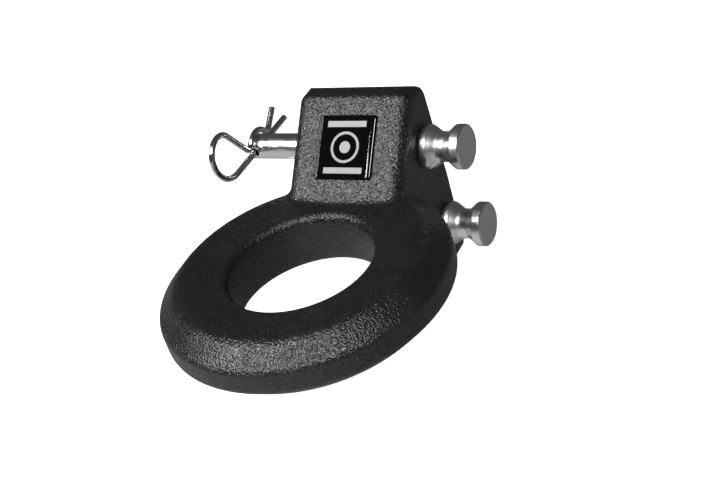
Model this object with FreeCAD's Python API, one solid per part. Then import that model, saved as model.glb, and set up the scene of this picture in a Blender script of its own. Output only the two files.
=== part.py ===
import FreeCAD
import Part
import math
import os

# Lunette ring on a wedge-faced block, pinned into an adjustable channel by two knobbed pins.
# Frame: origin at the centre of the ring's bore, +Z up the bore's axis, +Y from the ring
# towards the block, +X along the pins towards their knobs. All sizes are in millimetres.

V = FreeCAD.Vector

# ring
eye_diameter = 76.2
ring_wall = 38.4
bore_edge_height = 14.3
land_rise = 2.5
shoulder_from_rim = 12.2
rim_height = 11.6
lip_round = 4.6
land_round = 10.5
rim_round = 4.4

# block
block_width = 67.5
block_top = 55.4
block_bottom = 53.5
rear_beyond_ring = 29.3
face_lean = 45.8
face_foot_from_bore = 9.9
lower_face_setback = 5.0
nose_overlap = 0.6
front_round = 4.5
top_rear_round = 11.0
bottom_rear_round = 8.0
heel_start = 5.0
heel_inset = 2.8
cheek_round = 7.5
rear_edge_round = 1.2
neck_round = 6.0

# pins and their bores
pin_diameter = 14.3
pin_from_rear = 13.6
upper_pin_height = 21.7
pin_spacing = 49.5
pin_overhang = 41.2
pin_end_chamfer = 1.2
bore_clearance = 0.1
clip_hole_from_end = 5.1
clip_hole_clearance = 0.6
lower_hole_turn = 190.0

# knobs
knob_diameter = 24.0
knob_length = 23.6
waist_diameter = 16.2
shoulder_length = 3.4
waist_start = 9.2
waist_end = 13.8
disc_thickness = 5.2
base_edge_round = 1.8
shoulder_round = 4.5
waist_round = 5.0
disc_back_round = 1.6
disc_edge_chamfer = 0.9
knob_gap = 0.2
spigot_diameter = 9.5
spigot_length = 15.0

# clips
wire_diameter = 3.5
saddle_gap = 0.4
outward_rest = 0.5
leg_beyond_pin = 23.0
loop_reach = 43.9
leg_loop_round = 16.3
arm_loop_round = 10.5
arm_slope = 54.2
saddle_foot_from_pin = 3.4
saddle_foot_height = 2.7
saddle_foot_round = 3.8
tip_length = 14.6
tip_slope = 38.0

# badge
badge_side = 34.0
badge_corner = 1.5
badge_up_face = 29.8
recess_depth = 0.8
recess_gap = 0.4
adhesive_thickness = 0.8
plate_thickness = 0.5
emblem_thickness = 0.15
dome_height = 1.5
dome_round = 1.0
emblem_ring_radius = 8.4
emblem_ring_width = 1.4
emblem_dot_radius = 3.2
emblem_bar_length = 23.0
emblem_bar_height = 3.2
emblem_bar_offset = 12.4

# margins of the modelling itself: how far a cutter runs past a face, and how near counts as on it
cut_margin = 1.0
on_face = 0.01
joined = 1e-4

eye_radius = eye_diameter / 2
ring_radius = eye_radius + ring_wall
half_width = block_width / 2
block_rear = ring_radius + rear_beyond_ring
lean = math.radians(face_lean)
land_height = bore_edge_height + land_rise * face_foot_from_bore / (ring_wall - shoulder_from_rim)
face_foot = eye_radius + face_foot_from_bore
pin_radius = pin_diameter / 2
pin_y = block_rear - pin_from_rear
pin_heights = {"upper": upper_pin_height, "lower": upper_pin_height - pin_spacing}
hole_turns = {"upper": 0.0, "lower": lower_hole_turn}
pin_end_x = -half_width - pin_overhang
clip_hole_x = pin_end_x + clip_hole_from_end
clip_x = clip_hole_x - outward_rest
wire_radius = wire_diameter / 2
knob_radius = knob_diameter / 2


def rounded_edges(points, rounds, place):
    """Edges along points, with an arc of the given radius at each inner point."""
    spots = [place(*point) for point in points]
    edges = []
    last = spots[0]
    for before, here, after, radius in zip(spots, spots[1:], spots[2:], rounds):
        if radius > 0:
            back = (before - here).normalize()
            ahead = (after - here).normalize()
            half_angle = back.getAngle(ahead) / 2
            reach = radius / math.tan(half_angle)
            bisector = (back + ahead).normalize()
            middle = here + bisector * (radius / math.sin(half_angle) - radius)
            start, end = here + back * reach, here + ahead * reach
            edges.append(Part.LineSegment(last, start).toShape())
            edges.append(Part.Arc(start, middle, end).toShape())
            last = end
        else:
            edges.append(Part.LineSegment(last, here).toShape())
            last = here
    edges.append(Part.LineSegment(last, spots[-1]).toShape())
    return edges


def closed_face(points, rounds, place):
    """A face inside a closed outline. The first point is a plain corner."""
    edges = rounded_edges(points + [points[0]], rounds, place)
    return Part.Face(Part.Wire(edges))


def radial(distance, height):
    return V(distance, 0, height)


def side_view(along, height):
    return V(0, along, height)


def ring():
    rim_half = rim_height / 2
    shoulder = (ring_radius - shoulder_from_rim, bore_edge_height + land_rise)
    upper = [(eye_radius, bore_edge_height), shoulder, (ring_radius, rim_half)]
    lower = [(distance, -height) for distance, height in reversed(upper)]
    rounds = [lip_round, land_round, rim_round]
    outline = [(eye_radius, 0.0)] + upper + lower
    section = closed_face(outline, rounds + rounds[::-1], radial)
    return section.revolve(V(0, 0, 0), V(0, 0, 1), 360)


def face_y(height):
    """How far out a leaning front face stands at a height from the middle plane."""
    return face_foot + (height - land_height) * math.tan(lean)


def across_block(outline, rounds):
    """A side-view outline drawn out over the block's width."""
    solid = closed_face(outline, rounds, side_view).extrude(V(block_width, 0, 0))
    solid.translate(V(-half_width, 0, 0))
    return solid


def span(edge):
    """The edge's two ends and the point halfway along it."""
    first, last = edge.FirstParameter, edge.LastParameter
    return [edge.valueAt(value) for value in (first, last, (first + last) / 2)]


def on_cheek(edge):
    """True for an edge that lies in the plane of either cheek."""
    points = span(edge)
    return all(abs(abs(point.x) - half_width) < on_face for point in points) and points[0].x * points[1].x > 0


def is_front_edge(edge, side):
    """True for the cheek edges along the front and end of the half above (1) or below (-1) the nose."""
    first, last, middle = span(edge)
    at_back = min(first.y, last.y) > block_rear - heel_inset - on_face
    return on_cheek(edge) and side * middle.z > land_height and not at_back


def is_rear_edge(edge):
    """True for the cheek edges down the back, with the rounds above and below it."""
    return on_cheek(edge) and min(point.y for point in span(edge)) > block_rear - top_rear_round - on_face


def block():
    nose_y = face_foot - math.tan(lean) * nose_overlap
    nose_top = land_height - nose_overlap
    nose_foot = nose_top - lower_face_setback / math.tan(lean)
    rear = [(block_rear, block_top), (block_rear, -heel_start), (block_rear - heel_inset, -block_bottom)]
    front = [(nose_y, -nose_foot), (nose_y, nose_top), (face_y(block_top), block_top)]
    lower_front = (face_y(block_bottom) + lower_face_setback, -block_bottom)
    wedge = across_block(front + rear + [lower_front], [0, front_round, 0, 0, 0, front_round])
    for side in (1, -1):
        wedge = wedge.makeFillet(cheek_round, [edge for edge in wedge.Edges if is_front_edge(edge, side)])
    corner = [(nose_y, -block_bottom), (nose_y, block_top)]
    envelope = across_block(corner + rear, [0, top_rear_round, 0, bottom_rear_round])
    rear_edges = [edge for edge in envelope.Edges if is_rear_edge(edge)]
    return wedge.common(envelope.makeFillet(rear_edge_round, rear_edges))


def pin_bore(height):
    reach = half_width + cut_margin
    radius = pin_radius + bore_clearance
    return Part.makeCylinder(radius, 2 * reach, V(-reach, pin_y, height), V(1, 0, 0))


def onto_front_face(shape):
    """Move a shape drawn on the XY plane onto the upper front face, at the badge's centre."""
    up_y, up_z = math.sin(lean), math.cos(lean)
    matrix = FreeCAD.Matrix(
        1, 0, 0, 0,
        0, up_y, -up_z, face_foot + badge_up_face * up_y,
        0, up_z, up_y, land_height + badge_up_face * up_z,
        0, 0, 0, 1)
    placed = shape.copy()
    placed.Placement = FreeCAD.Placement(matrix).multiply(placed.Placement)
    return placed


def square_pad(side, corner, bottom, thickness):
    pad = Part.makeBox(side, side, thickness, V(-side / 2, -side / 2, bottom))
    upright = [e for e in pad.Edges if e.BoundBox.ZLength > thickness / 2]
    return pad.makeFillet(corner, upright)


def shared_edges(body, first, second):
    """The body's edges that lie on the skins of both solids it was joined from."""
    found = []
    for edge in body.Edges:
        point = Part.Vertex(edge.valueAt((edge.FirstParameter + edge.LastParameter) / 2))
        if all(point.distToShape(skin)[0] < joined for skin in (first.Shells[0], second.Shells[0])):
            found.append(edge)
    return found


def lunette_casting():
    wedge = block()
    eye = ring()
    body = wedge.fuse(eye).removeSplitter()
    body = body.makeFillet(neck_round, shared_edges(body, wedge, eye))
    for height in pin_heights.values():
        body = body.cut(pin_bore(height))
    side = badge_side + 2 * recess_gap
    recess = square_pad(side, badge_corner + recess_gap, -recess_depth, recess_depth + cut_margin)
    return body.cut(onto_front_face(recess))


def pin_shaft(height, turn):
    shoulder_x = half_width + knob_gap
    shaft = Part.makeCylinder(pin_radius, shoulder_x - pin_end_x, V(pin_end_x, pin_y, height), V(1, 0, 0))
    end_edges = [edge for edge in shaft.Edges if edge.BoundBox.XMax < pin_end_x + on_face]
    shaft = shaft.makeChamfer(pin_end_chamfer, end_edges)
    spigot = Part.makeCylinder(spigot_diameter / 2, spigot_length, V(shoulder_x, pin_y, height), V(1, 0, 0))
    hole_radius = wire_radius + clip_hole_clearance
    hole_start = V(clip_hole_x, pin_y - pin_diameter, height)
    hole = Part.makeCylinder(hole_radius, 2 * pin_diameter, hole_start, V(0, 1, 0))
    hole.rotate(V(0, pin_y, height), V(1, 0, 0), turn)
    return shaft.fuse(spigot).cut(hole)


def pin_knob(height):
    waist_radius = waist_diameter / 2
    start_x = half_width + knob_gap

    def place(along, distance):
        return V(start_x + along, pin_y + distance, height)

    outline = [
        (0, 0), (0, knob_radius), (shoulder_length, knob_radius), (waist_start, waist_radius),
        (waist_end, waist_radius), (knob_length - disc_thickness, knob_radius),
        (knob_length - disc_edge_chamfer, knob_radius), (knob_length, knob_radius - disc_edge_chamfer),
        (knob_length, 0),
    ]
    rounds = [base_edge_round, shoulder_round, waist_round, waist_round, disc_back_round, 0, 0, 0]
    knob = closed_face(outline, rounds, place).revolve(V(0, pin_y, height), V(1, 0, 0), 360)
    socket = Part.makeCylinder(spigot_diameter / 2, spigot_length, V(start_x, pin_y, height), V(1, 0, 0))
    return knob.cut(socket)


def wire_clip(height, turn):
    """Hairpin clip: a straight leg through the pin, a finger loop and an arm saddled on the pin.

    A turn of 0 degrees has the loop on the ring's side of the pin and the arm above the pin.
    """
    saddle_radius = pin_radius + wire_radius + saddle_gap
    foot = (pin_radius + saddle_foot_from_pin, saddle_foot_height)
    foot_angle = math.atan2(foot[1], foot[0])
    crown_angle = math.pi / 2 - foot_angle - math.acos(saddle_radius / math.hypot(*foot))
    crown = saddle_radius / math.cos(crown_angle)
    loop_top = foot[1] + (loop_reach - foot[0]) * math.tan(math.radians(arm_slope))
    tip = (foot[0] + tip_length * math.cos(math.radians(tip_slope)),
           foot[1] + tip_length * math.sin(math.radians(tip_slope)))
    path = [
        (pin_radius + leg_beyond_pin, 0), (-loop_reach, 0), (-loop_reach, loop_top), (-foot[0], foot[1]),
        (0, crown), foot, tip,
    ]
    rounds = [leg_loop_round, arm_loop_round, saddle_foot_round, saddle_radius, saddle_foot_round]

    def place(along, up):
        return V(clip_x, pin_y + along, height + up)

    spine = Part.Wire(rounded_edges(path, rounds, place))
    start = place(*path[0])
    circle = Part.Wire(Part.Circle(start, V(0, 1, 0), wire_radius).toShape())
    clip = spine.makePipeShell([circle], True, True)
    clip.rotate(V(0, pin_y, height), V(1, 0, 0), turn)
    return clip


def badge_stack():
    """Badge layers on the XY plane, from the recess floor up, as name and solid."""
    floor = -recess_depth
    adhesive = square_pad(badge_side, badge_corner, floor, adhesive_thickness)
    plate_bottom = floor + adhesive_thickness
    plate = square_pad(badge_side, badge_corner, plate_bottom, plate_thickness)
    plate_top = plate_bottom + plate_thickness
    outer = Part.makeCylinder(emblem_ring_radius, emblem_thickness, V(0, 0, plate_top))
    inner = Part.makeCylinder(emblem_ring_radius - emblem_ring_width, emblem_thickness, V(0, 0, plate_top))
    marks = [outer.cut(inner), Part.makeCylinder(emblem_dot_radius, emblem_thickness, V(0, 0, plate_top))]
    for side in (1, -1):
        corner = V(-emblem_bar_length / 2, side * emblem_bar_offset - emblem_bar_height / 2, plate_top)
        marks.append(Part.makeBox(emblem_bar_length, emblem_bar_height, emblem_thickness, corner))
    emblem = Part.makeCompound(marks)
    dome = square_pad(badge_side, badge_corner, plate_top, dome_height)
    rim = [e for e in dome.Edges if e.BoundBox.ZMin > plate_top + dome_height - on_face]
    dome = dome.makeFillet(dome_round, rim)
    for mark in marks:
        dome = dome.cut(mark)
    return {"badge_adhesive": adhesive, "badge_plate": plate, "badge_emblem": emblem, "badge_dome": dome}


def build():
    parts = {"lunette_casting": lunette_casting()}
    for name, height in pin_heights.items():
        parts[name + "_pin_shaft"] = pin_shaft(height, hole_turns[name])
        parts[name + "_pin_knob"] = pin_knob(height)
        parts[name + "_clip"] = wire_clip(height, hole_turns[name])
    for name, solid in badge_stack().items():
        parts[name] = onto_front_face(solid)
    return parts


os.makedirs("parts", exist_ok=True)
for name, shape in build().items():
    shape.exportStep("parts/" + name + ".step")
    print(name, shape.isValid(), len(shape.Solids), round(shape.Volume, 1))
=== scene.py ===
import math
import bmesh
import bpy
from mathutils import Matrix, Vector


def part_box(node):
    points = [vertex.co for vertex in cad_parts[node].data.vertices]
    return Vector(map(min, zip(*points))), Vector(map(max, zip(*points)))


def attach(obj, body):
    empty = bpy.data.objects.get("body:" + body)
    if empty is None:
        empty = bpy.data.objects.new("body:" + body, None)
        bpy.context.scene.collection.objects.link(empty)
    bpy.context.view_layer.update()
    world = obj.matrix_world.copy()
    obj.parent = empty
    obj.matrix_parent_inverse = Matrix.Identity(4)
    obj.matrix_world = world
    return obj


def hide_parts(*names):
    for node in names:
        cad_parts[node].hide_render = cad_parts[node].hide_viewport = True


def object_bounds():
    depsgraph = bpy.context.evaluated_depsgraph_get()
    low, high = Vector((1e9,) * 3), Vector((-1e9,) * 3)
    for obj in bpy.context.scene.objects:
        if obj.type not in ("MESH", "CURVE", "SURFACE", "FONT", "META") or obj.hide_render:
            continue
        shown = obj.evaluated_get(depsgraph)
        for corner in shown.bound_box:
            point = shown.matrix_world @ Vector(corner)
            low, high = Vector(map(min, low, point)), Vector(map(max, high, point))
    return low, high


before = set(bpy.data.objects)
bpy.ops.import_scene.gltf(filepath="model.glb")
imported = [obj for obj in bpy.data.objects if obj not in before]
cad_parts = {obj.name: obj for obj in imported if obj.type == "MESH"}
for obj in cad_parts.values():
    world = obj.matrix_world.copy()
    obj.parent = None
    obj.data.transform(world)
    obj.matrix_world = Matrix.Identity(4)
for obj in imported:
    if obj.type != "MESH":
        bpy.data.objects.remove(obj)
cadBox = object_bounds()
print("frame loaded:", len(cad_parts), "nodes")


class Wire:
    # a socket in a node tree; arithmetic on wires adds Math nodes
    def __init__(self, tree, socket=None):
        self.tree = tree
        self.socket = socket

    def node(self, kind, settings=None, inputs=None, output=0):
        made = self.tree.nodes.new(kind)
        for name, value in (settings or {}).items():
            setattr(made, name, value)
        for name, value in (inputs or {}).items():
            if isinstance(value, Wire):
                self.tree.links.new(value.socket, made.inputs[name])
            else:
                made.inputs[name].default_value = value
        return Wire(self.tree, made.outputs[output])

    def maths(self, operation, first, second=0.0):
        return self.node("ShaderNodeMath", {"operation": operation}, {0: first, 1: second})

    def vectors(self, operation, first, second, output=0):
        return self.node("ShaderNodeVectorMath", {"operation": operation}, {0: first, 1: second}, output)

    def __add__(self, other):
        return self.maths("ADD", self, other)

    def __radd__(self, other):
        return self.maths("ADD", other, self)

    def __sub__(self, other):
        return self.maths("SUBTRACT", self, other)

    def __rsub__(self, other):
        return self.maths("SUBTRACT", other, self)

    def __mul__(self, other):
        return self.maths("MULTIPLY", self, other)

    def __rmul__(self, other):
        return self.maths("MULTIPLY", other, self)

    def __pow__(self, other):
        return self.maths("POWER", self, other)

    def __rpow__(self, other):
        return self.maths("POWER", other, self)

    def axis(self, letter):
        # one coordinate of a position
        return self.node("ShaderNodeSeparateXYZ", {}, {0: self}, "XYZ".index(letter))

    def between(self, low, high, start=0.0, end=1.0):
        # eases from start to end as the value goes from low to high
        inputs = {"Value": self, "From Min": low, "From Max": high, "To Min": start, "To Max": end}
        return self.node("ShaderNodeMapRange", {"interpolation_type": "SMOOTHSTEP"}, inputs)

    def blend(self, first, second):
        # a colour between two, this wire being the share of the second
        return self.node("ShaderNodeMix", {"data_type": "RGBA"}, {0: self, 6: first, 7: second}, 2)

    def noise(self, scale, detail=2.0, rough=0.5):
        inputs = {"Vector": self, "Scale": scale, "Detail": detail, "Roughness": rough}
        return self.node("ShaderNodeTexNoise", {}, inputs)

    def cells(self, scale, smooth=0.6):
        inputs = {"Vector": self, "Scale": scale, "Smoothness": smooth}
        return self.node("ShaderNodeTexVoronoi", {"feature": "SMOOTH_F1"}, inputs)

    def bump(self):
        # this wire is the height in metres
        return self.node("ShaderNodeBump", {}, {"Height": self, "Distance": 1.0, "Strength": 1.0})


def grey(value):
    return (value, value, value, 1.0)


def paint(node, material):
    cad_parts[node].material_slots[0].material = material


def newMaterial(name, constants, build):
    # build takes the Object position and gives the wires of the shader's sockets
    material = bpy.data.materials.new(name)
    material.use_nodes = True
    tree = material.node_tree
    shader = tree.nodes["Principled BSDF"]
    for socket, value in constants.items():
        shader.inputs[socket].default_value = value
    place = Wire(tree).node("ShaderNodeTexCoord", {}, {}, "Object")
    for socket, wire in build(place).items():
        tree.links.new(wire.socket, shader.inputs[socket])
    return material


# black wrinkle powder coat over a cast skin: painted shade, the base colour is lighter on the wrinkle's peaks
# and the roll's rises and darker in the valleys
coat = {
    "shadedValley": 0.003, "litPeak": 0.014, "rough": 0.25, "wrinkle": 780.0, "depth": 0.00042, "specular": 0.55,
    "rollScale": 75.0, "rollDepth": 0.00012, "seamHeight": 0.0010, "seamWidth": 0.00045,
    "seamDepth": 0.0002, "cellShare": 0.6, "valleyShadeShare": 0.8, "rollShadeShare": 0.3, "peakRough": 0.04,
    "rimFrom": 0.0030, "rimTo": 0.0012,
}


def coatWires(place):
    cells = place.cells(coat["wrinkle"], 0.3) * coat["cellShare"]
    wrinkle = cells + place.noise(coat["wrinkle"] * 1.3, 1.0, 0.5)
    roll = place.noise(coat["rollScale"], 3.0, 0.5)
    x, y, z = place.axis("X"), place.axis("Y"), place.axis("Z")
    fromBore = (x * x + y * y) ** 0.5
    rim = fromBore.between(ringRadius - coat["rimFrom"], ringRadius - coat["rimTo"])
    aboveSeam = z - coat["seamHeight"]
    seam = aboveSeam.maths("ABSOLUTE", aboveSeam)
    seamLine = seam.between(0.0, coat["seamWidth"], 1.0, 0.0) * rim
    height = wrinkle * coat["depth"] + roll * coat["rollDepth"] + seamLine * coat["seamDepth"]
    # painted shade: the base colour follows the wrinkle and roll heights, darker in the valleys and lighter
    # on the rises
    tone = wrinkle.between(0.45, 0.95) * coat["valleyShadeShare"] + roll * coat["rollShadeShare"]
    rough = roll.between(0.3, 0.7, coat["rough"] - 0.05, coat["rough"] + 0.06)
    return {
        "Normal": height.bump(),
        "Roughness": rough + wrinkle * coat["peakRough"],
        "Base Color": tone.blend(grey(coat["shadedValley"]), grey(coat["litPeak"])),
    }


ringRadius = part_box("lunette_casting")[1].x
paint("lunette_casting", newMaterial("blackWrinkleCoat", {"Specular IOR Level": coat["specular"]}, coatWires))
print("casting coated")

# turned metal: rings left by the tool run round the pin's axis
turned = {
    "shaft": {"tone": 0.86, "rough": 0.22, "pitch": 2600.0, "depth": 0.000004,
              "endRough": 0.20, "grain": 0.0},
    "knob": {"tone": 0.90, "rough": 0.31, "pitch": 3600.0, "depth": 0.000010,
             "endRough": 0.42, "grain": 0.00003},
}


def turnedMetal(name, kind, node):
    values = turned[kind]
    low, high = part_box(node)
    axisY, axisZ = (low.y + high.y) / 2, (low.z + high.z) / 2

    def build(place):
        x = place.axis("X")
        y, z = place.axis("Y") - axisY, place.axis("Z") - axisZ
        fromAxis = (y * y + z * z) ** 0.5
        along = place.node("ShaderNodeCombineXYZ", {}, {0: x, 1: fromAxis})
        rings = along.noise(values["pitch"], 3.0, 0.7)
        broad = along.noise(values["pitch"] * 0.12, 2.0, 0.5)
        handling = place.noise(160.0, 4.0, 0.6)
        atEnd = x.between(high.x - 0.00025, high.x - 0.00005)
        speckle = place.noise(3200.0, 2.0, 0.7)
        height = rings * values["depth"] + speckle * atEnd * values["grain"]
        rough = broad.between(0.3, 0.7, values["rough"] - 0.03, values["rough"] + 0.04)
        rough = rough + handling.between(0.55, 0.75) * 0.06 + atEnd * (values["endRough"] - values["rough"])
        dull = handling.between(0.45, 0.7) * 0.5 + rings * 0.3
        return {
            "Normal": height.bump(),
            "Roughness": rough,
            "Base Color": dull.blend(grey(values["tone"]), grey(values["tone"] * 0.86)),
        }

    return newMaterial(name, {"Metallic": 1.0}, build)


# knob: profile points as (distance along the axis, radius), with the round at each inner corner
knobShape = {
    "radius": 0.0120, "length": 0.0236, "waist": 0.0081, "shoulder": 0.0034, "waistStart": 0.0092,
    "waistEnd": 0.0138, "disc": 0.0052, "edge": 0.0009, "baseRound": 0.0018, "shoulderRound": 0.0045,
    "waistRound": 0.0050, "discRound": 0.0016, "edgeRound": 0.0003, "sides": 160, "arcSteps": 14,
}


def roundedLine(points, rounds, steps):
    # a polyline through the points, with an arc of the given radius at each inner one
    spots = [Vector(point) for point in points]
    line = [spots[0]]
    for before, here, after, radius in zip(spots, spots[1:], spots[2:], rounds):
        if radius == 0:
            line.append(here)
            continue
        back, ahead = (before - here).normalized(), (after - here).normalized()
        half = back.angle(ahead) / 2
        centre = here + (back + ahead).normalized() * (radius / math.sin(half))
        start = here + back * (radius / math.tan(half)) - centre
        end = here + ahead * (radius / math.tan(half)) - centre
        sweep = start.angle(end)
        for step in range(steps + 1):
            share = step / steps
            weights = math.sin((1 - share) * sweep), math.sin(share * sweep)
            line.append(centre + (start * weights[0] + end * weights[1]) / math.sin(sweep))
    return line + [spots[-1]]


def newPiece(name, mesh, material, body, node):
    mesh.materials.clear()
    mesh.materials.append(material)
    piece = bpy.data.objects.new(name, mesh)
    bpy.context.scene.collection.objects.link(piece)
    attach(piece, body)
    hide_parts(node)


def finishMesh(builder, name, smoothAngle=35.0):
    # merges doubles, turns the faces outwards and shades smooth except across sharp edges
    bmesh.ops.remove_doubles(builder, verts=builder.verts, dist=1e-7)
    bmesh.ops.recalc_face_normals(builder, faces=builder.faces)
    for face in builder.faces:
        face.smooth = True
    for edge in builder.edges:
        edge.smooth = not edge.is_manifold or edge.calc_face_angle() < math.radians(smoothAngle)
    mesh = bpy.data.meshes.new(name)
    builder.to_mesh(mesh)
    builder.free()
    return mesh


def lathe(name, line, sides, origin):
    # turns a line of (along, radius) round the X axis through the origin
    builder = bmesh.new()
    loops = []
    for along, radius in line:
        if radius < 1e-7:
            loops.append([builder.verts.new(origin + Vector((along, 0, 0)))])
            continue
        turns = [2 * math.pi * side / sides for side in range(sides)]
        spots = [Vector((along, radius * math.cos(turn), radius * math.sin(turn))) for turn in turns]
        loops.append([builder.verts.new(origin + spot) for spot in spots])
    for first, second in zip(loops, loops[1:]):
        for side in range(sides):
            after = (side + 1) % sides
            corners = [first[side % len(first)], second[side % len(second)],
                       second[after % len(second)], first[after % len(first)]]
            builder.faces.new(list(dict.fromkeys(corners)))
    return finishMesh(builder, name)


def buildKnob(side):
    shape = knobShape
    low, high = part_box(side + "_pin_knob")
    origin = Vector((low.x, (low.y + high.y) / 2, (low.z + high.z) / 2))
    radius, length, edge = shape["radius"], shape["length"], shape["edge"]
    points = [
        (0, 0), (0, radius), (shape["shoulder"], radius), (shape["waistStart"], shape["waist"]),
        (shape["waistEnd"], shape["waist"]), (length - shape["disc"], radius), (length - edge, radius),
        (length, radius - edge), (length, 0),
    ]
    rounds = [shape["baseRound"], shape["shoulderRound"], shape["waistRound"], shape["waistRound"],
              shape["discRound"], shape["edgeRound"], shape["edgeRound"]]
    line = roundedLine([Vector(point).to_3d() for point in points], rounds, shape["arcSteps"])
    mesh = lathe(side + "Knob", [(spot.x, spot.y) for spot in line], shape["sides"], origin)
    metal = turnedMetal(side + "KnobMetal", "knob", side + "_pin_knob")
    newPiece(side + "Knob", mesh, metal, side + "_pin", side + "_pin_knob")


for side in ("upper", "lower"):
    buildKnob(side)
    paint(side + "_pin_shaft", turnedMetal(side + "ShaftSteel", "shaft", side + "_pin_shaft"))
print("pins and knobs made")

# wire clip: sizes in metres, slopes and turns in degrees
clipShape = {
    "legBeyondPin": 0.0230, "loopReach": 0.0439, "legRound": 0.0163, "armRound": 0.0105, "armSlope": 54.2,
    "footFromPin": 0.0034, "footHeight": 0.0027, "footRound": 0.0038, "tipLength": 0.0146, "tipSlope": 38.0,
    "saddleGap": 0.0004, "endBevel": 0.0003, "turns": {"upper": 0.0, "lower": 190.0},
    "bendSteps": 20, "wireSides": 32,
}
clipWireLook = {"tone": 0.80, "rough": 0.13, "drawn": 900.0, "depth": 0.00001}


def clipWires(place):
    look = clipWireLook
    streak = place.noise(look["drawn"], 3.0, 0.6)
    handling = place.noise(220.0, 4.0, 0.6)
    rough = handling.between(0.4, 0.7, look["rough"] - 0.02, look["rough"] + 0.07)
    return {
        "Normal": (streak * look["depth"]).bump(),
        "Roughness": rough + streak * 0.02,
        "Base Color": handling.between(0.35, 0.7).blend(grey(look["tone"]), grey(look["tone"] * 0.85)),
    }


clipWire = newMaterial("brightClipWire", {"Metallic": 1.0}, clipWires)


def clipCorners(pinRadius, wireRadius):
    # the wire's corners in its own plane as (along, up), with the bend's radius at each
    shape = clipShape
    saddle = pinRadius + wireRadius + shape["saddleGap"]
    foot = Vector((pinRadius + shape["footFromPin"], shape["footHeight"]))
    crownTurn = math.pi / 2 - math.atan2(foot.y, foot.x) - math.acos(saddle / foot.length)
    loopTop = foot.y + (shape["loopReach"] - foot.x) * math.tan(math.radians(shape["armSlope"]))
    tipTurn = math.radians(shape["tipSlope"])
    tip = foot + Vector((math.cos(tipTurn), math.sin(tipTurn))) * shape["tipLength"]
    return [
        ((pinRadius + shape["legBeyondPin"], 0), 0), ((-shape["loopReach"], 0), shape["legRound"]),
        ((-shape["loopReach"], loopTop), shape["armRound"]), ((-foot.x, foot.y), shape["footRound"]),
        ((0, saddle / math.cos(crownTurn)), saddle), (tuple(foot), shape["footRound"]), (tuple(tip), 0),
    ]


def wireTree():
    # Geometry Nodes: rounds the corners of a polyline and runs a round wire along it
    tree = bpy.data.node_groups.new("bentWire", "GeometryNodeTree")
    face = tree.interface
    face.new_socket("Geometry", in_out="INPUT", socket_type="NodeSocketGeometry")
    face.new_socket("Wire Radius", in_out="INPUT", socket_type="NodeSocketFloat")
    face.new_socket("Bend Steps", in_out="INPUT", socket_type="NodeSocketInt")
    face.new_socket("Wire Sides", in_out="INPUT", socket_type="NodeSocketInt")
    face.new_socket("Finish", in_out="INPUT", socket_type="NodeSocketMaterial")
    face.new_socket("Geometry", in_out="OUTPUT", socket_type="NodeSocketGeometry")
    start = Wire(tree)
    given = tree.nodes.new("NodeGroupInput")
    line, radius, steps, sides, finish = [Wire(tree, given.outputs[index]) for index in range(5)]
    bend = start.node("GeometryNodeInputNamedAttribute", {"data_type": "FLOAT"}, {"Name": "bendRadius"})
    share = start.node("GeometryNodeInputNamedAttribute", {"data_type": "FLOAT"}, {"Name": "wireShare"})
    path = start.node("GeometryNodeMeshToCurve", {}, {0: line})
    path = start.node("GeometryNodeFilletCurve", {"mode": "POLY"}, {0: path, "Count": steps, "Radius": bend})
    section = start.node("GeometryNodeCurvePrimitiveCircle", {}, {"Resolution": sides, "Radius": radius})
    tube = start.node("GeometryNodeCurveToMesh", {},
                      {"Curve": path, "Profile Curve": section, "Scale": share, "Fill Caps": True})
    smooth = start.node("GeometryNodeSetShadeSmooth", {}, {"Geometry": tube})
    whole = start.node("GeometryNodeRealizeInstances", {}, {"Geometry": smooth})
    done = start.node("GeometryNodeSetMaterial", {}, {"Geometry": whole, "Material": finish})
    result = tree.nodes.new("NodeGroupOutput")
    tree.links.new(done.socket, result.inputs[0])
    return tree


bentWire = wireTree()


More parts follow.
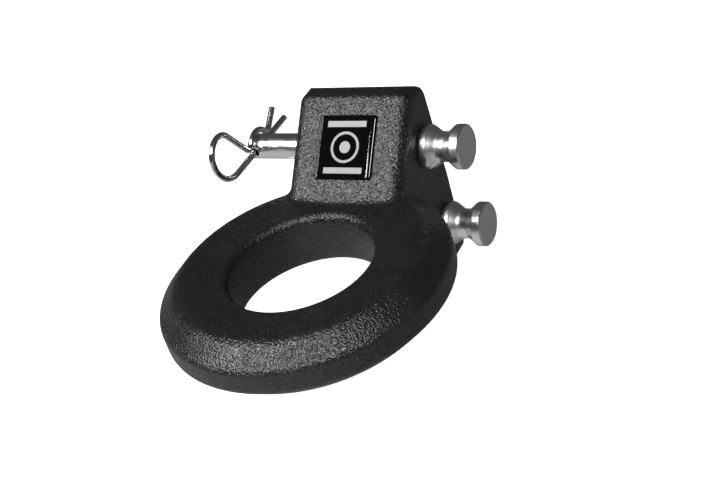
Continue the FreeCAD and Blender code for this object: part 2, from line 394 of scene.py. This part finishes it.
def buildClip(side):
    low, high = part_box(side + "_clip")
    pinLow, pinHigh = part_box(side + "_pin_shaft")
    wireRadius = (high.x - low.x) / 2
    pinRadius = (pinHigh.y - pinLow.y) / 2
    origin = Vector(((low.x + high.x) / 2, (pinLow.y + pinHigh.y) / 2, (pinLow.z + pinHigh.z) / 2))
    corners = clipCorners(pinRadius, wireRadius)
    bevel = clipShape["endBevel"]
    spots = [(Vector((0, *point)), radius, 1.0) for point, radius in corners]
    inward = [(spots[1][0] - spots[0][0]).normalized() * bevel,
              (spots[-2][0] - spots[-1][0]).normalized() * bevel]
    bluntEnd = 1.0 - bevel / wireRadius
    spots = ([(spots[0][0], 0.0, bluntEnd), (spots[0][0] + inward[0], 0.0, 1.0)] + spots[1:-1]
             + [(spots[-1][0] + inward[1], 0.0, 1.0), (spots[-1][0], 0.0, bluntEnd)])
    mesh = bpy.data.meshes.new(side + "ClipLine")
    mesh.from_pydata([spot for spot, bend, share in spots], [(i, i + 1) for i in range(len(spots) - 1)], [])
    for name, index in (("bendRadius", 1), ("wireShare", 2)):
        attribute = mesh.attributes.new(name, "FLOAT", "POINT")
        attribute.data.foreach_set("value", [spot[index] for spot in spots])
    line = bpy.data.objects.new(side + "ClipLine", mesh)
    bpy.context.scene.collection.objects.link(line)
    modifier = line.modifiers.new("bentWire", "NODES")
    modifier.node_group = bentWire
    given = {"Wire Radius": wireRadius, "Bend Steps": clipShape["bendSteps"],
             "Wire Sides": clipShape["wireSides"], "Finish": clipWire}
    for item in bentWire.interface.items_tree:
        if item.in_out == "INPUT" and item.name in given:
            modifier[item.identifier] = given[item.name]
    ready = line.evaluated_get(bpy.context.evaluated_depsgraph_get())
    wire = bpy.data.meshes.new_from_object(ready)
    line.modifiers.remove(modifier)
    bpy.data.objects.remove(line)
    turn = Matrix.Rotation(math.radians(clipShape["turns"][side]), 4, "X")
    wire.transform(Matrix.Translation(origin) @ turn)
    wire.name = side + "Clip"
    builder = bmesh.new()
    builder.from_mesh(wire)
    mesh = finishMesh(builder, side + "ClipMesh")
    newPiece(side + "Clip", mesh, clipWire, side + "_clip", side + "_clip")


for side in ("upper", "lower"):
    buildClip(side)
print("clips bent")

# badge: printed plate under a crowned drop of clear resin
badge = {
    "lean": 45.8, "side": 0.0340, "corner": 0.0015, "crown": 0.00150, "wall": 0.00045, "lift": 0.00017,
    "rings": 26, "cornerSteps": 10, "sideSteps": 14, "crownPower": 3.2,
    "clearTo": 0.0144, "fade": 0.0006, "rightStreakShare": 1.0, "leftStreakShare": 0.15, "rough": 0.03,
    "ripple": 0.00006, "inkTones": (0.003, 0.007), "foilTones": (0.32, 0.48), "foamTones": (0.006, 0.02),
}


def squareOutline(half, corner, cornerSteps, sideSteps):
    # a square outline with rounded corners, as evenly spread points
    outline = []
    for quarter in range(4):
        turn = Matrix.Rotation(quarter * math.pi / 2, 2)
        for step in range(cornerSteps + 1):
            angle = step / cornerSteps * math.pi / 2
            reach = half - corner
            around = Vector((math.cos(angle), math.sin(angle))) * corner
            outline.append(turn @ (Vector((reach, reach)) + around))
        for step in range(1, sideSteps):
            across = (half - corner) * (1 - 2 * step / sideSteps)
            outline.append(turn @ Vector((across, half)))
    return outline


def buildDome():
    low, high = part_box("badge_plate")
    lean = math.radians(badge["lean"])
    outward = Vector((0, -math.cos(lean), math.sin(lean)))
    upward = Vector((0, math.sin(lean), math.cos(lean)))
    thickness = (high.y - low.y - badge["side"] * math.sin(lean)) / math.cos(lean)
    base = (low + high) / 2 + outward * thickness / 2
    outline = squareOutline(badge["side"] / 2, badge["corner"], badge["cornerSteps"], badge["sideSteps"])
    builder = bmesh.new()

    def spot(flat, height):
        return builder.verts.new(base + Vector((flat.x, 0, 0)) + upward * flat.y + outward * height)

    def crownHeight(share):
        return badge["wall"] + (badge["crown"] - badge["wall"]) * (1 - share ** badge["crownPower"]) ** 0.5

    loops = [[spot(point, badge["lift"]) for point in outline]]
    for step in range(badge["rings"]):
        share = 1 - (step / badge["rings"]) ** 1.5
        loops.append([spot(point * share, crownHeight(share)) for point in outline])
    top = spot(Vector((0, 0)), badge["crown"])
    count = len(outline)
    for first, second in zip(loops, loops[1:]):
        for index in range(count):
            after = (index + 1) % count
            builder.faces.new([first[index], first[after], second[after], second[index]])
    for index in range(count):
        builder.faces.new([loops[-1][index], loops[-1][(index + 1) % count], top])
    builder.faces.new(loops[0][::-1])
    mesh = finishMesh(builder, "resinDome", 50.0)
    newPiece("resinDome", mesh, resinMaterial(base), "casting", "badge_dome")


def resinMaterial(centre):
    # clear in the middle, where the print shows through; the skin mirrors only in a band by each side edge, a
    # painted reflection streak placed by position, full on the right and faint on the left
    material = bpy.data.materials.new("clearResinPaintedStreak")
    material.use_nodes = True
    tree = material.node_tree
    shader = tree.nodes["Principled BSDF"]
    shader.inputs["Base Color"].default_value = grey(0.0)
    shader.inputs["Specular IOR Level"].default_value = 1.0
    shader.inputs["Roughness"].default_value = badge["rough"]
    start = Wire(tree)
    place = start.node("ShaderNodeTexCoord", {}, {}, "Object")
    ripple = (place.noise(70.0, 1.0, 0.3) * badge["ripple"]).bump()
    tree.links.new(ripple.socket, shader.inputs["Normal"])
    clear = start.node("ShaderNodeBsdfTransparent")
    gloss = Wire(tree, shader.outputs[0])
    # painted reflection: the glossy skin is mixed in by position only near each side edge, not by where the
    # lights are
    across = place.vectors("SUBTRACT", place, centre).axis("X")
    fadeEnd = badge["clearTo"] + badge["fade"]
    rightStreak = across.between(badge["clearTo"], fadeEnd) * badge["rightStreakShare"]
    leftStreak = (0.0 - across).between(badge["clearTo"], fadeEnd) * badge["leftStreakShare"]
    mixed = start.node("ShaderNodeMixShader", {}, {0: rightStreak + leftStreak, 1: clear, 2: gloss})
    tree.links.new(mixed.socket, tree.nodes["Material Output"].inputs["Surface"])
    return material


def inkWires(place):
    speck = place.noise(2400.0, 3.0, 0.7)
    return {
        "Base Color": speck.between(0.5, 0.8).blend(*map(grey, badge["inkTones"])),
        "Roughness": speck.between(0.3, 0.7, 0.26, 0.34),
    }


def foilWires(place):
    flake = place.noise(2600.0, 3.0, 0.7)
    return {
        "Base Color": flake.between(0.3, 0.7).blend(*map(grey, badge["foilTones"])),
        "Roughness": flake.between(0.3, 0.7, 0.42, 0.56),
        "Normal": (flake * 0.00001).bump(),
    }


def foamWires(place):
    cell = place.cells(2200.0, 0.3)
    return {
        "Base Color": cell.between(0.1, 0.6).blend(*map(grey, badge["foamTones"])),
        "Normal": (cell * 0.0001).bump(),
    }


matt = {"Specular IOR Level": 0.0}
paint("badge_plate", newMaterial("badgeInk", matt, inkWires))
paint("badge_emblem", newMaterial("badgeFoil", matt, foilWires))
paint("badge_adhesive", newMaterial("foamTape", {"Roughness": 0.9}, foamWires))
buildDome()
print("badge made")

# studio: directions point from the object towards each light
studio = {
    "floorSize": 14.0, "floorGrey": 0.9, "floorGlow": 0.95,
    "key": {"from": (-0.495, -0.511, 0.703), "distance": 1.3, "width": 0.60, "height": 0.60, "power": 15.0},
    "strip": {"from": (0.33, -0.55, 0.75), "distance": 1.3, "width": 0.25, "height": 0.5, "power": 10.0},
    "room": {"above": 0.06, "below": 0.15, "horizon": 0.25, "paleSide": (-0.58, -0.81, 0.0),
             "paleFrom": -0.3, "paleTo": 0.5, "paper": 0.36, "backdrop": 1.0},
}


def softLight(name, aim):
    values = studio[name]
    data = bpy.data.lights.new(name, "AREA")
    data.shape = "RECTANGLE"
    data.size = values["width"]
    data.size_y = values["height"]
    data.energy = values["power"]
    lamp = bpy.data.objects.new(name, data)
    bpy.context.scene.collection.objects.link(lamp)
    away = Vector(values["from"]).normalized()
    lamp.location = aim + away * values["distance"]
    lamp.rotation_euler = away.to_track_quat("Z", "Y").to_euler()


def buildFloor(height):
    mesh = bpy.data.meshes.new("studioFloor")
    half = studio["floorSize"] / 2
    corners = [(-half, -half, height), (half, -half, height), (half, half, height), (-half, half, height)]
    mesh.from_pydata(corners, [], [(0, 1, 2, 3)])
    floor = bpy.data.objects.new("studioFloor", mesh)
    bpy.context.scene.collection.objects.link(floor)
    glow = {"Roughness": 0.9, "Emission Color": grey(1.0), "Emission Strength": studio["floorGlow"]}
    tone = studio["floorGrey"]
    mesh.materials.append(newMaterial("paleFloor", glow, lambda place: {
        "Base Color": place.noise(9.0, 3.0).blend(grey(tone), grey(tone + 0.03))}))
    floor.visible_glossy = False  # the metal mirrors the room instead


def buildWorld():
    # a dim room over pale paper that is lit on the near left, for the shiny metal to mirror
    world = bpy.data.worlds.new("studioWorld")
    world.use_nodes = True
    tree = world.node_tree
    room = studio["room"]
    direction = Wire(tree).node("ShaderNodeTexCoord", {}, {}, "Generated")
    downward = (0.0 - direction.axis("Z")).between(0.0, room["horizon"])
    towards = direction.vectors("DOT_PRODUCT", direction, room["paleSide"], 1)
    paleSide = towards.between(room["paleFrom"], room["paleTo"])
    light = room["above"] + downward * (room["below"] - room["above"] + paleSide * room["paper"])
    # the camera sees plain white paper; only reflections see the dim room
    seen = direction.node("ShaderNodeLightPath", {}, {}, "Is Camera Ray")
    light = light + seen * (room["backdrop"] - light)
    background = tree.nodes["Background"]
    tree.links.new(light.socket, background.inputs["Strength"])
    background.inputs["Color"].default_value = grey(1.0)
    bpy.context.scene.world = world


lens = {
    "place": (0.39121, -0.49668, 0.41144), "azimuth": 35.72, "elevation": 32.03, "roll": -18.64,
    "focal": 77.03, "sensor": 36.0,
}


def buildCamera():
    data = bpy.data.cameras.new("viewCamera")
    data.lens = lens["focal"]
    data.sensor_width = lens["sensor"]
    item = bpy.data.objects.new("viewCamera", data)
    bpy.context.scene.collection.objects.link(item)
    turn = (Matrix.Rotation(math.radians(lens["azimuth"]), 4, "Z")
            @ Matrix.Rotation(math.radians(90 - lens["elevation"]), 4, "X")
            @ Matrix.Rotation(math.radians(lens["roll"]), 4, "Z"))
    item.matrix_world = Matrix.Translation(lens["place"]) @ turn
    bpy.context.scene.camera = item


buildFloor(cadBox[0].z)
buildWorld()
for name in ("key", "strip"):
    softLight(name, (cadBox[0] + cadBox[1]) / 2)
buildCamera()
bpy.context.scene.view_settings.view_transform = "Standard"
print("studio ready")
